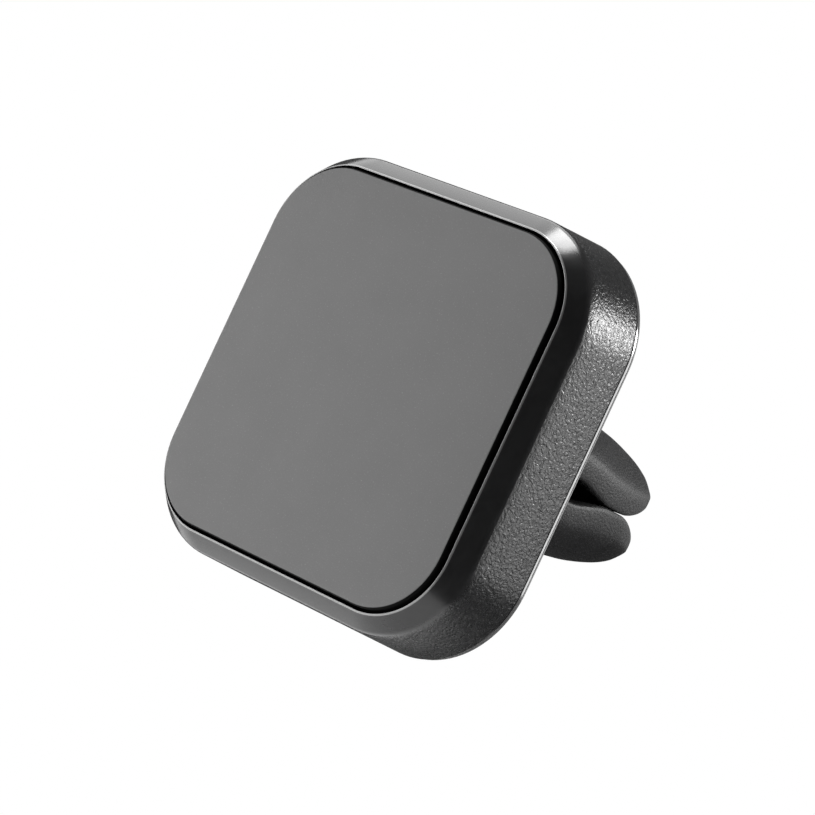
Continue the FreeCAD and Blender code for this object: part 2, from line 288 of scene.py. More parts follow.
def bridge(piece, first, second):
    """Faces between two of the outlines of a stack, told apart by their places along Y."""
    open_edit(piece)
    mesh = bmesh.from_edit_mesh(piece.data)
    for edge in mesh.edges:
        place = edge.verts[0].co.y / APART - 1
        level = abs(edge.verts[0].co.y - edge.verts[1].co.y) < SNAP
        if level and (abs(place - first) < STEP_SNAP or abs(place - second) < STEP_SNAP):
            edge.select_set(True)
    bmesh.update_edit_mesh(piece.data)
    bpy.ops.mesh.bridge_edge_loops(type="SINGLE")
    close_edit()


def soften(piece, half, corner, y, width, steps=3):
    """Rounds the edge loop that lies on one outline."""
    def on_outline(point):
        return abs(point.y - y) < SNAP and abs(off_outline(point, half, corner)) < SNAP

    open_edit(piece)
    pick(piece, "edges", on_outline)
    bpy.ops.mesh.bevel(offset=width, segments=steps, profile=0.5, affect="EDGES")
    close_edit()


def cut(piece, tool, operation="DIFFERENCE"):
    """Cuts with, or adds, another solid, which is used up."""
    select_only(piece)
    modifier = piece.modifiers.new("cut", "BOOLEAN")
    modifier.operation = operation
    modifier.solver = "EXACT"
    modifier.object = tool
    bpy.ops.object.modifier_apply(modifier="cut")
    bpy.data.objects.remove(tool, do_unlink=True)


def round_bar(radius, y_front, y_back, x=0.0, z=0.0, tip_radius=None):
    """Tool shape along Y: a bar, or a cone where it has a tip radius at the back."""
    if tip_radius is None:
        tip_radius = radius
    bpy.ops.object.select_all(action="DESELECT")
    bpy.ops.mesh.primitive_cone_add(vertices=BAR_STEPS, radius1=radius, radius2=tip_radius,
                                    depth=y_back - y_front, location=(x, (y_front + y_back) / 2, z),
                                    rotation=(math.radians(-90), 0, 0))
    piece = bpy.context.object
    apply_place(piece)
    return piece


def block(size, centre, turn=(0, 0, 0)):
    """Tool shape: a box of that size."""
    bpy.ops.object.select_all(action="DESELECT")
    bpy.ops.mesh.primitive_cube_add(size=1, location=centre, scale=size, rotation=turn)
    piece = bpy.context.object
    apply_place(piece)
    return piece


def smooth(piece, angle=32):
    select_only(piece)
    bpy.ops.object.shade_smooth_by_angle(angle=math.radians(angle))


def finish_piece(piece, material, slot, body, *nodes):
    piece.data.materials.clear()
    piece.data.materials.append(material)
    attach(piece, body)
    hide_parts(*nodes)


def screw_places():
    return [(side_x * SCREW_SPREAD, side_z * SCREW_SPREAD) for side_x, side_z in CORNERS.values()]


def drill_for_screws(piece):
    head_back = FLOOR_FRONT + SCREW_HEAD_THICK
    for x, z in screw_places():
        cut(piece, round_bar(SCREW_HEAD_RADIUS, FLOOR_FRONT, head_back, x, z, SCREW_RADIUS))
        cut(piece, round_bar(SCREW_RADIUS, FLOOR_FRONT, SCREW_BACK, x, z))


# ---- Head ----

def make_pad():
    pad = stack("rubber_face", [(PAD_HALF, PAD_CORNER, 0), (PAD_HALF, PAD_CORNER, PAD_BACK)])
    soften(pad, PAD_HALF, PAD_CORNER, 0, PAD_EDGE, 5)
    smooth(pad)
    return pad


def make_housing():
    """Shell: a recess for the pad, a narrow lip, the chamfer, the drafted wall and the hollow behind."""
    land_half = LIP_HALF + LIP_LAND
    land_corner = LIP_CORNER + LIP_LAND
    inner_half = WALL_HALF - WALL_THICK
    inner_corner = CHAMFER_CORNER - WALL_THICK
    rings = [(LIP_HALF, LIP_CORNER, FLOOR_FRONT),
             (LIP_HALF, LIP_CORNER, LIP_FRONT),
             (land_half, land_corner, LIP_FRONT),
             (CHAMFER_HALF, CHAMFER_CORNER, CHAMFER_BACK),
             (WALL_HALF, CHAMFER_CORNER, WALL_BACK),
             (inner_half, inner_corner, WALL_BACK),
             (CHAMFER_HALF - WALL_THICK, inner_corner, FLOOR_BACK)]
    housing = stack("housing_shell", rings)
    soften(housing, LIP_HALF, LIP_CORNER, LIP_FRONT, LIP_INNER_EDGE)
    soften(housing, land_half, land_corner, LIP_FRONT, LIP_OUTER_EDGE)
    soften(housing, CHAMFER_HALF, CHAMFER_CORNER, CHAMFER_BACK, CHAMFER_EDGE, 6)
    soften(housing, WALL_HALF, CHAMFER_CORNER, WALL_BACK, WALL_OUTER_EDGE, 4)
    soften(housing, inner_half, inner_corner, WALL_BACK, WALL_INNER_EDGE)
    drill_for_screws(housing)
    smooth(housing)
    return housing


def make_cover():
    """Cover with a plug, a boss, four screw posts and a square seat for the stud's flange."""
    rings = [(PLUG_HALF, PLUG_CORNER, PLUG_FRONT),
             (PLUG_HALF, PLUG_CORNER, COVER_FRONT),
             (COVER_HALF, COVER_CORNER, COVER_FRONT),
             (COVER_HALF, COVER_CORNER, COVER_BACK),
             (BOSS_RADIUS + BOSS_SPLAY, BOSS_RADIUS + BOSS_SPLAY, COVER_BACK),
             (BOSS_RADIUS, BOSS_RADIUS, BOSS_BACK)]
    cover = stack("back_cover", rings)
    soften(cover, COVER_HALF, COVER_CORNER, COVER_BACK, COVER_BACK_EDGE, 7)
    soften(cover, COVER_HALF, COVER_CORNER, COVER_FRONT, COVER_FRONT_EDGE)
    soften(cover, BOSS_RADIUS, BOSS_RADIUS, BOSS_BACK, BOSS_EDGE)
    for x, z in screw_places():
        cut(cover, round_bar(POST_RADIUS, FLOOR_BACK, POST_BACK, x, z), "UNION")
    cut(cover, round_bar(COLLAR_RADIUS, PLUG_FRONT - MM, BOSS_BACK + MM))
    seat = FLANGE_BACK - PLUG_FRONT + MM
    cut(cover, block((2 * FLANGE_HALF, seat, 2 * FLANGE_HALF), (0, FLANGE_BACK - seat / 2, 0)))
    for x, z in screw_places():
        cut(cover, round_bar(SCREW_RADIUS, FLOOR_FRONT, SCREW_BACK, x, z))
    smooth(cover)
    return cover


# ---- Ball joint ----

def make_stud():
    """Square flange, collar, a neck that flares at its root, and the shank the ball sits on."""
    rings = [(FLANGE_HALF, FLANGE_CORNER, FLANGE_FRONT), (FLANGE_HALF, FLANGE_CORNER, FLANGE_BACK)]
    turned = [(COLLAR_RADIUS, FLANGE_BACK), (COLLAR_RADIUS, BOSS_BACK)]
    turned += [(NECK_RADIUS + share * NECK_FLARE, BOSS_BACK + rise) for share, rise in NECK_FLARE_STEPS]
    turned += [(NECK_RADIUS, BALL_FLAT - PLAY), (SHANK_RADIUS, BALL_FLAT - PLAY), (SHANK_RADIUS, SHANK_BACK)]
    stud = stack("stud", rings + [(radius, radius, y) for radius, y in turned])
    soften(stud, COLLAR_RADIUS, COLLAR_RADIUS, BOSS_BACK, COLLAR_EDGE)
    soften(stud, SHANK_RADIUS, SHANK_RADIUS, SHANK_BACK, SHANK_EDGE)
    smooth(stud)
    return stud


def sphere_rings(radius, first, last, steps):
    """Outlines on a sphere about the ball's centre, from one angle off +Y to another, in degrees."""
    rings = []
    for step in range(steps + 1):
        angle = math.radians(first + (last - first) * step / steps)
        reach = radius * math.sin(angle)
        rings.append((reach, reach, BALL_CENTRE + radius * math.cos(angle)))
    return rings


def make_ball():
    flat_angle = 180 - math.degrees(math.asin(BALL_FLAT_RADIUS / BALL_RADIUS))
    bore = SHANK_RADIUS + PLAY
    blind_bore = [(bore, bore, SHANK_BACK + PLAY), (bore, bore, BALL_FLAT)]
    ball = stack("joint_ball", blind_bore + sphere_rings(BALL_RADIUS, flat_angle, POLE_ANGLE, 30))
    smooth(ball)
    return ball


def make_nut():
    """Ring with a coned mouth over the socket's lip, and sunk flutes round the outside."""
    cone_slope = (THREAD_RADIUS - SOCKET_LIP_RADIUS) / (THREAD_FRONT - SOCKET_FRONT)
    inner_front = SOCKET_LIP_RADIUS + NUT_PLAY - cone_slope * (SOCKET_FRONT - NUT_FRONT)
    inner = THREAD_RADIUS + NUT_PLAY
    profile = [(inner_front, NUT_FRONT), (NUT_NOSE_RADIUS, NUT_FRONT), (NUT_RADIUS, NUT_SHOULDER),
               (NUT_RADIUS, NUT_BACK), (inner, NUT_BACK), (inner, THREAD_FRONT)]
    nut = stack("ring_nut", [(radius, radius, y) for radius, y in profile], "round")
    flute_pitch = 2 * math.pi / NUT_FLUTES
    open_edit(nut, "FACE")
    for flute in range(NUT_FLUTES):
        middle = Vector((math.cos(flute * flute_pitch), 0, math.sin(flute * flute_pitch)))

        def in_flute(point):
            outward = Vector((point.x, 0, point.z))
            return outward.length > NUT_RADIUS - SNAP and outward.angle(middle) < FLUTE_SHARE * flute_pitch

        pick(nut, "faces", in_flute)
        bpy.ops.mesh.inset(thickness=FLUTE_SIDE, depth=-FLUTE_DEPTH)
    close_edit()
    soften(nut, NUT_NOSE_RADIUS, NUT_NOSE_RADIUS, NUT_FRONT, NUT_NOSE_EDGE)
    soften(nut, inner_front, inner_front, NUT_FRONT, NUT_MOUTH_EDGE)
    smooth(nut, 40)
    return nut


def make_clip_core():
    """Slit ball socket with its threaded outside, on the round base that the fingers spring from."""
    mouth_angle = math.degrees(math.acos((SOCKET_FRONT - BALL_CENTRE) / SOCKET_RADIUS))
    outside = [(BASE_RADIUS, BASE_RADIUS, BASE_BACK), (BASE_RADIUS, BASE_RADIUS, BASE_FRONT),
               (THREAD_RADIUS, THREAD_RADIUS, BASE_FRONT), (THREAD_RADIUS, THREAD_RADIUS, THREAD_FRONT),
               (SOCKET_LIP_RADIUS, SOCKET_LIP_RADIUS, SOCKET_FRONT)]
    inside = sphere_rings(SOCKET_RADIUS, mouth_angle, 90, 8)
    inside += sphere_rings(FRICTION_ROOM, 90, POLE_ANGLE, 20)
    core = stack("socket_and_base", outside + inside)
    soften(core, BASE_RADIUS, BASE_RADIUS, BASE_BACK, BASE_EDGE, 4)
    soften(core, BASE_RADIUS, BASE_RADIUS, BASE_FRONT, BASE_EDGE, 4)
    soften(core, SOCKET_LIP_RADIUS, SOCKET_LIP_RADIUS, SOCKET_FRONT, SOCKET_LIP_EDGE)
    slit_front = SOCKET_FRONT - MM
    slit_size = (3 * THREAD_RADIUS, SLIT_BACK - slit_front, SLIT_WIDTH)
    for turn in (0, 90):
        cut(core, block(slit_size, (0, (slit_front + SLIT_BACK) / 2, 0), (0, math.radians(turn), 0)))
    reach = PIVOT_RADIUS * math.sqrt(0.5)
    for side_x, side_z in CORNERS.values():
        bpy.ops.object.select_all(action="DESELECT")
        bpy.ops.mesh.primitive_cylinder_add(vertices=BAR_STEPS, radius=BARREL_RADIUS, depth=BARREL_LENGTH,
                                            location=(side_x * reach, BASE_BACK, side_z * reach),
                                            rotation=(0, math.radians(-45 * side_x * side_z + 90), 0))
        groove = bpy.context.object
        apply_place(groove)
        cut(core, groove)
    smooth(core)
    return core


# ---- Fingers ----

def flank_half(y):
    """Half width of the four fingers together at a place along them."""
    share = max(0.0, (y - NOSE_FRONT) / NOSE_LENGTH)
    return FINGER_HALF * (1 - share ** NOSE_POWER) ** (1 / NOSE_POWER)


def slot_half(y):
    """Half the gap between two fingers: parallel, closing until they touch, then flaring in an arc."""
    if y < SLOT_NARROW:
        return SLOT_HALF
    if y < MOUTH_AT:
        share = (y - SLOT_NARROW) / (MOUTH_AT - SLOT_NARROW)
        return max(SLOT_HALF + (MOUTH_HALF - SLOT_HALF) * share, FINGERS_APART)
    flare = LEAD_IN_RADIUS - math.sqrt(LEAD_IN_RADIUS ** 2 - (y - MOUTH_AT) ** 2)
    return max(MOUTH_HALF + flare, FINGERS_APART)


def tip_rounding(y, tip):
    """How far the finger's outline draws in all round, to end in a blunt round tip."""
    share = max(0.0, 1 - (tip - y) / TIP_ROUND)
    return TIP_DRAW_IN * (1 - math.sqrt(1 - share ** 2))


def finger_skin(inset, tip):
    """Open-ended skin of the upper right finger, shrunk by the inset and closed at the tip."""
    inner, outer, ridge = SLOT_HALF + inset, FINGER_HALF - inset, RIDGE
    middle = (inner + outer) / 2
    length = tip - BOOT_FRONT
    skin = block((outer - inner, length, outer - inner), (middle, BOOT_FRONT + length / 2, middle))
    open_edit(skin, "FACE")
    pick(skin, "faces", lambda point: abs(point.y - BOOT_FRONT) < SNAP)
    bpy.ops.mesh.delete(type="ONLY_FACE")
    bpy.ops.mesh.select_mode(type="EDGE")
    soften_long_edge(skin, outer, outer, outer - ridge, 1)
    soften_long_edge(skin, outer, ridge, RIDGE_EDGE, 2)
    soften_long_edge(skin, ridge, outer, RIDGE_EDGE, 2)
    soften_long_edge(skin, outer, inner, FLANK_EDGE, 2)
    soften_long_edge(skin, inner, outer, FLANK_EDGE, 2)
    soften_long_edge(skin, inner, inner, SLOT_CORNER_EDGE, 2)
    bpy.ops.mesh.select_all(action="DESELECT")
    mesh = bmesh.from_edit_mesh(skin.data)
    for edge in mesh.edges:
        if abs(edge.verts[0].co.y - edge.verts[1].co.y) > SNAP:
            edge.select_set(True)
    bmesh.update_edit_mesh(skin.data)
    bpy.ops.mesh.subdivide(number_cuts=BOOT_STATIONS - 1)
    bpy.ops.mesh.select_mode(type="VERT")
    shape_stations(skin, inset, inner, outer, tip)
    close_edit()
    rounding = skin.modifiers.new("rounding", "SUBSURF")
    rounding.levels = 1
    rounding.render_levels = 1
    select_only(skin)
    bpy.ops.object.modifier_apply(modifier="rounding")
    return skin


def soften_long_edge(skin, x, z, width, steps):
    """Rounds the edge that runs along the finger at that x and z."""
    pick(skin, "edges", lambda point: abs(point.x - x) < SNAP and abs(point.z - z) < SNAP)
    bpy.ops.mesh.bevel(offset=width, segments=steps, profile=0.5, affect="EDGES")


def shape_stations(skin, inset, inner, outer, tip):
    """Moves each cross-section of the finger to its own place, size and gap, closer together at the tip."""
    length = tip - BOOT_FRONT
    for station in range(BOOT_STATIONS, 0, -1):
        old_y = BOOT_FRONT + length * station / BOOT_STATIONS
        new_y = BOOT_FRONT + length * math.sin(math.pi / 2 * station / BOOT_STATIONS)
        draw_in = inset + tip_rounding(new_y, tip)
        gap = slot_half(new_y) + draw_in
        size = (flank_half(new_y) - draw_in - gap) / (outer - inner)
        pick(skin, "verts", lambda point: abs(point.y - old_y) < SNAP)
        bpy.ops.transform.resize(value=(size, 1, size), center_override=(inner, old_y, inner))
        bpy.ops.transform.translate(value=(gap - inner, new_y - old_y, gap - inner))


def make_boot():
    """Upper right boot: an outer and an inner skin joined round the open root."""
    boot = finger_skin(0, BOOT_TIP)
    inside = finger_skin(BOOT_WALL, BOOT_TIP - BOOT_TIP_WALL)
    inside.location.y = -APART
    apply_place(inside)
    select_only(boot, inside)
    bpy.ops.object.join()
    root_places = (BOOT_FRONT, BOOT_FRONT - APART)
    open_edit(boot)
    pick(boot, "edges", lambda point: min(abs(point.y - place) for place in root_places) < SNAP)
    bpy.ops.mesh.bridge_edge_loops(type="SINGLE")
    pick(boot, "verts", lambda point: point.y < BOOT_FRONT - SNAP)
    bpy.ops.transform.translate(value=(0, APART, 0))
    close_edit()
    face_outwards(boot)
    smooth(boot, 50)
    return boot


def copy_to_corner(piece, name, side_x, side_z):
    """A copy with its own mesh, mirrored into another quarter."""
    select_only(piece)
    bpy.ops.object.duplicate()
    copy = bpy.context.object
    copy.name = name
    copy.data.name = name
    open_edit(copy)
    bpy.ops.mesh.select_all(action="SELECT")
    bpy.ops.transform.resize(value=(side_x, 1, side_z), center_override=(0, 0, 0))
    close_edit()
    face_outwards(copy)
    return copy


# ---- Finishes ----

# The range that a noise mostly stays in, and the size of the finest lumps on each surface.
NOISE_LOW = 0.3
NOISE_HIGH = 0.7
PAD_GRAIN = 0.16 * MM
WORM_GRAIN = 0.36 * MM
WALL_GRAIN = 0.25 * MM
COVER_GRAIN = 0.22 * MM
BOOT_GRAIN = 0.24 * MM
METAL_GRAIN = 0.3 * MM


def grey(level):
    return (level, level, level)


def start_finish(name):
    material = bpy.data.materials.new(name)
    material.use_nodes = True
    nodes = material.node_tree.nodes
    links = material.node_tree.links
    place = nodes.new("ShaderNodeTexCoord")
    return material, nodes, links, nodes["Principled BSDF"], place.outputs["Object"]


def noise(nodes, links, place, grain, detail=3.0, distortion=0.0):
    """Noise whose lumps are about grain metres across."""
    texture = nodes.new("ShaderNodeTexNoise")
    texture.inputs["Scale"].default_value = 1 / grain
    texture.inputs["Detail"].default_value = detail
    texture.inputs["Distortion"].default_value = distortion
    links.new(place, texture.inputs["Vector"])
    return texture.outputs["Fac"]


def ramp(nodes, links, factor, dark, light):
    """Colour that goes from dark to light with a noise."""
    shade = nodes.new("ShaderNodeValToRGB")
    shade.color_ramp.elements[0].position = NOISE_LOW
    shade.color_ramp.elements[0].color = (*dark, 1)
    shade.color_ramp.elements[1].position = NOISE_HIGH
    shade.color_ramp.elements[1].color = (*light, 1)
    links.new(factor, shade.inputs["Fac"])
    return shade.outputs["Color"]


def spread(nodes, links, value, from_low, from_high, to_low, to_high):
    """Map Range node."""
    mapping = nodes.new("ShaderNodeMapRange")
    ends = {"From Min": from_low, "From Max": from_high, "To Min": to_low, "To Max": to_high}
    for socket, number in ends.items():
        mapping.inputs[socket].default_value = number
    links.new(value, mapping.inputs["Value"])
    return mapping.outputs["Result"]


def vary(nodes, links, factor, lowest, highest):
    """Value that goes from lowest to highest with a noise."""
    return spread(nodes, links, factor, NOISE_LOW, NOISE_HIGH, lowest, highest)


def maths(nodes, links, operation, first, second):
    """Math node on two values, each a number or a socket."""
    node = nodes.new("ShaderNodeMath")
    node.operation = operation
    for socket, value in zip(node.inputs, (first, second)):
        if isinstance(value, (int, float)):
            socket.default_value = value
        else:
            links.new(value, socket)
    return node.outputs["Value"]


def blend_colour(nodes, links, factor, first, second):
    """Mix node on two colours, each given outright or as a socket."""
    mix = nodes.new("ShaderNodeMix")
    mix.data_type = "RGBA"
    links.new(factor, mix.inputs["Factor"])
    for socket, value in ((mix.inputs["A"], first), (mix.inputs["B"], second)):
        if isinstance(value, tuple):
            socket.default_value = (*value, 1)
        else:
            links.new(value, socket)
    return mix.outputs["Result"]


def bump(nodes, links, height, depth):
    """Bump node; depth is the height in metres that a factor of 1 stands for."""
    node = nodes.new("ShaderNodeBump")
    node.inputs["Strength"].default_value = 1.0
    node.inputs["Distance"].default_value = depth
    links.new(height, node.inputs["Height"])
    return node.outputs["Normal"]


def along(nodes, links, place, axis):
    """One axis of a vector."""
    split = nodes.new("ShaderNodeSeparateXYZ")
    links.new(place, split.inputs["Vector"])
    return split.outputs[axis]


def edge_wear(nodes, links, start=0.51, end=0.56):
    """1 on convex edges, 0 on flats."""
    shape = nodes.new("ShaderNodeNewGeometry")
    return spread(nodes, links, shape.outputs["Pointiness"], start, end, 0.0, 1.0)


def finish_pad_rubber():
    """Matt grey face with a few pale specks; the sides are painted shade, black and nearly unreflective, for
    the shadowed gap by the lip.
    """
    material, nodes, links, shader, place = start_finish("pad_rubber")
    mottle = noise(nodes, links, place, 6 * MM, 4)
    fine = noise(nodes, links, place, PAD_GRAIN, 2)
    body = ramp(nodes, links, mottle, grey(0.15), grey(0.158))
    specks = spread(nodes, links, fine, 0.6, 0.72, 0.0, 0.4)
    speckled = blend_colour(nodes, links, specks, body, grey(0.32))
    # Painted shade: behind the face, the pad's sides are painted near black with little specular, where the
    # gap by the lip lies in shadow.
    painted_shade_side = spread(nodes, links, along(nodes, links, place, "Y"), 0.02 * MM, 0.05 * MM, 0.0, 1.0)
    colour = blend_colour(nodes, links, painted_shade_side, speckled, grey(0.004))
    links.new(colour, shader.inputs["Base Color"])
    links.new(vary(nodes, links, fine, 0.62, 0.8), shader.inputs["Roughness"])
    links.new(bump(nodes, links, fine, 0.02 * MM), shader.inputs["Normal"])
    links.new(spread(nodes, links, painted_shade_side, 0.0, 1.0, 0.35, 0.05), shader.inputs["Specular IOR Level"])
    return material


def finish_housing():
    """Polished black chamfer, spark-eroded side wall, a painted highlight as a thin pale line along the
    lip's edge, and painted shade that makes the recess floor under the pad black and dull.
    """
    material, nodes, links, shader, place = start_finish("housing_plastic")
    depth = along(nodes, links, place, "Y")
    wall = spread(nodes, links, depth, CHAMFER_BACK + 0.2 * MM, CHAMFER_BACK + 1.0 * MM, 0.0, 1.0)
    worms = noise(nodes, links, place, WORM_GRAIN, 2, 0.6)
    grains = noise(nodes, links, place, WALL_GRAIN, 2)
    relief = maths(nodes, links, "ADD", worms, maths(nodes, links, "MULTIPLY", grains, 0.35))
    textured = maths(nodes, links, "MULTIPLY", relief, wall)
    scuffs = noise(nodes, links, place, 3 * MM, 5, 1.5)
    polish = spread(nodes, links, scuffs, 0.35, 0.75, 0.17, 0.25)
    rough = vary(nodes, links, grains, 0.25, 0.34)
    mix = nodes.new("ShaderNodeMix")
    links.new(wall, mix.inputs["Factor"])
    links.new(polish, mix.inputs["A"])
    links.new(rough, mix.inputs["B"])
    # Painted shade: the recess floor under the pad, which faces the front and lies behind the lip, is
    # painted black, fully rough and unreflective.
    facing = along(nodes, links, place.node.outputs["Normal"], "Y")
    recess = maths(nodes, links, "MULTIPLY", spread(nodes, links, facing, -0.97, -0.93, 1.0, 0.0),
                   spread(nodes, links, depth, LIP_FRONT + 0.2 * MM, LIP_FRONT + 0.3 * MM, 0.0, 1.0))
    links.new(maths(nodes, links, "MAXIMUM", mix.outputs["Result"], recess), shader.inputs["Roughness"])
    links.new(spread(nodes, links, recess, 0.0, 1.0, 0.5, 0.0), shader.inputs["Specular IOR Level"])
    body = ramp(nodes, links, scuffs, (0.016, 0.016, 0.0165), (0.021, 0.021, 0.0215))
    tops = ramp(nodes, links, worms, (0.012, 0.012, 0.0125), (0.026, 0.026, 0.0265))
    colour = blend_colour(nodes, links, wall, body, tops)
    colour = blend_colour(nodes, links, recess, colour, grey(0.003))
    # Painted highlight: a thin band at the lip's front edge is painted pale and part metallic, so that it
    # shows as a bright line.
    lip = spread(nodes, links, depth, LIP_FRONT + 0.08 * MM, LIP_FRONT + 0.14 * MM, 1.0, 0.0)
    links.new(blend_colour(nodes, links, lip, colour, grey(0.28)), shader.inputs["Base Color"])
    links.new(maths(nodes, links, "MULTIPLY", lip, 0.4), shader.inputs["Metallic"])
    links.new(bump(nodes, links, textured, 0.075 * MM), shader.inputs["Normal"])
    return material


def finish_cover():
    """Glossy cover edge with a painted highlight, a pale part metallic band, and a finely grained black
    back.
    """
    material, nodes, links, shader, place = start_finish("cover_plastic")
    depth = along(nodes, links, place, "Y")
    back = spread(nodes, links, depth, COVER_BACK - 0.1 * MM, COVER_BACK, 0.0, 1.0)
    grains = noise(nodes, links, place, COVER_GRAIN, 3)
    cloud = noise(nodes, links, place, 8 * MM, 4)
    mix = nodes.new("ShaderNodeMix")
    links.new(back, mix.inputs["Factor"])
    links.new(vary(nodes, links, cloud, 0.1, 0.18), mix.inputs["A"])
    links.new(vary(nodes, links, grains, 0.38, 0.5), mix.inputs["B"])
    links.new(mix.outputs["Result"], shader.inputs["Roughness"])
    # Painted highlight: between the seam and the back's rounding, the cover's edge is painted pale and part
    # metallic for light caught on its rounded edge.
    past_seam = spread(nodes, links, depth, COVER_FRONT + 0.1 * MM, COVER_FRONT + 0.16 * MM, 0.0, 1.0)
    before_back = spread(nodes, links, depth, COVER_BACK - 0.32 * MM, COVER_BACK - 0.22 * MM, 1.0, 0.0)
    painted_highlight_band = maths(nodes, links, "MULTIPLY", past_seam, before_back)
    black = ramp(nodes, links, cloud, (0.016, 0.016, 0.017), (0.026, 0.026, 0.027))
    links.new(blend_colour(nodes, links, painted_highlight_band, black, grey(0.26)), shader.inputs["Base Color"])
    links.new(maths(nodes, links, "MULTIPLY", painted_highlight_band, 0.55), shader.inputs["Metallic"])
    relief = maths(nodes, links, "MULTIPLY", grains, back)
    links.new(bump(nodes, links, relief, 0.05 * MM), shader.inputs["Normal"])
    return material


def finish_boot_rubber():
    """Matt black rubber with a fine grain and a few pale specks, rubbed along its ridges."""
    material, nodes, links, shader, place = start_finish("boot_rubber")
    cloud = noise(nodes, links, place, 4 * MM, 4)
    grains = noise(nodes, links, place, BOOT_GRAIN, 3)
    body = ramp(nodes, links, cloud, (0.01, 0.01, 0.0105), (0.015, 0.015, 0.0155))
    specks = spread(nodes, links, grains, 0.6, 0.74, 0.0, 0.25)
    rubbed = maths(nodes, links, "MULTIPLY", edge_wear(nodes, links, 0.505, 0.53), 0.2)
    colour = blend_colour(nodes, links, specks, body, grey(0.16))
    colour = blend_colour(nodes, links, rubbed, colour, grey(0.12))
    links.new(colour, shader.inputs["Base Color"])
    links.new(vary(nodes, links, grains, 0.42, 0.56), shader.inputs["Roughness"])
    links.new(bump(nodes, links, grains, 0.07 * MM), shader.inputs["Normal"])
    shader.inputs["Specular IOR Level"].default_value = 0.3
    return material


def finish_plastic(name, dark, light, grain, roughness, relief):
    """Plain moulded plastic with an even grain."""
    material, nodes, links, shader, place = start_finish(name)
    cloud = noise(nodes, links, place, 5 * MM, 4)
    grains = noise(nodes, links, place, grain, 3)
    body = ramp(nodes, links, cloud, dark, light)
    rubbed = maths(nodes, links, "MULTIPLY", edge_wear(nodes, links), 0.2)
    pale = tuple(0.6 * part + 0.1 for part in light)
    links.new(blend_colour(nodes, links, rubbed, body, pale), shader.inputs["Base Color"])
    links.new(vary(nodes, links, grains, *roughness), shader.inputs["Roughness"])
    links.new(bump(nodes, links, grains, relief), shader.inputs["Normal"])
    return material


def finish_metal(name, colour, roughness, stretch=(1, 1, 1)):
    """Steel or plating with fine marks; stretch draws the marks out along an axis."""
    material, nodes, links, shader, place = start_finish(name)
    mapping = nodes.new("ShaderNodeMapping")
    mapping.inputs["Scale"].default_value = stretch
    links.new(place, mapping.inputs["Vector"])
    marks = noise(nodes, links, mapping.outputs["Vector"], METAL_GRAIN, 4)
    cloud = noise(nodes, links, place, 3 * MM, 4)
    dark = tuple(0.8 * part for part in colour)
    links.new(ramp(nodes, links, cloud, dark, colour), shader.inputs["Base Color"])
    links.new(vary(nodes, links, marks, *roughness), shader.inputs["Roughness"])
    links.new(bump(nodes, links, marks, 0.006 * MM), shader.inputs["Normal"])
    shader.inputs["Metallic"].default_value = 1.0
    return material


# ---- Assembly ----

pad_rubber = finish_pad_rubber()
housing_plastic = finish_housing()
cover_plastic = finish_cover()
boot_rubber = finish_boot_rubber()
nut_plastic = finish_plastic("nut_plastic", (0.022, 0.022, 0.023), (0.034, 0.034, 0.035),
                             0.2 * MM, (0.38, 0.52), 0.03 * MM)
clip_plastic = finish_plastic("clip_plastic", (0.02, 0.02, 0.021), (0.03, 0.03, 0.031),
                              0.25 * MM, (0.42, 0.56), 0.03 * MM)
ball_plastic = finish_plastic("ball_plastic", (0.016, 0.016, 0.017), (0.024, 0.024, 0.025),
                              0.6 * MM, (0.14, 0.24), 0.004 * MM)
tray_plastic = finish_plastic("tray_plastic", grey(0.03), grey(0.05),
                              0.3 * MM, (0.4, 0.55), 0.02 * MM)
nylon = finish_plastic("nylon", (0.6, 0.57, 0.49), (0.72, 0.69, 0.6),
                       0.4 * MM, (0.35, 0.5), 0.01 * MM)
tape = finish_plastic("tape", (0.62, 0.62, 0.58), (0.75, 0.75, 0.71),
                      0.5 * MM, (0.5, 0.7), 0.02 * MM)
stud_steel = finish_metal("stud_steel", (0.5, 0.5, 0.51), (0.18, 0.34), (0.15, 4, 0.15))
screw_steel = finish_metal("screw_steel", (0.62, 0.62, 0.6), (0.22, 0.38))
plated_steel = finish_metal("plated_steel", (0.6, 0.6, 0.57), (0.25, 0.42), (0.2, 1, 3))
nickel_plate = finish_metal("nickel_plate", (0.72, 0.7, 0.66), (0.1, 0.22))

finish_piece(make_pad(), pad_rubber, "pad_rubber", "head", "front_pad")
finish_piece(make_housing(), housing_plastic, "housing_plastic", "head", "front_housing")
finish_piece(make_cover(), cover_plastic, "cover_plastic", "head", "rear_cover")
finish_piece(make_stud(), stud_steel, "stud_steel", "head", "ball_stud")
finish_piece(make_ball(), ball_plastic, "ball_plastic", "ball_joint", "ball")
finish_piece(make_nut(), nut_plastic, "nut_plastic", "nut", "lock_nut")
finish_piece(make_clip_core(), clip_plastic, "clip_plastic", "clip", "clip_core")

first_boot = make_boot()
for corner, (side_x, side_z) in CORNERS.items():
    boot = copy_to_corner(first_boot, "boot_" + corner, side_x, side_z)
    finish_piece(boot, boot_rubber, "boot_rubber", "finger_" + corner, "finger_boot_" + corner)
bpy.data.objects.remove(first_boot, do_unlink=True)

kept_nodes = {"pad_adhesive": tape, "housing_screws": screw_steel, "magnet_tray": tray_plastic,
              "yoke_plate": plated_steel, "friction_cup": nylon}
for corner in CORNERS:
    kept_nodes["magnet_" + corner] = nickel_plate
    kept_nodes["finger_core_" + corner] = clip_plastic
for node, material in kept_nodes.items():
    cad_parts[node].data.materials.clear()
    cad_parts[node].data.materials.append(material)


# ---- Floor, light and camera ----

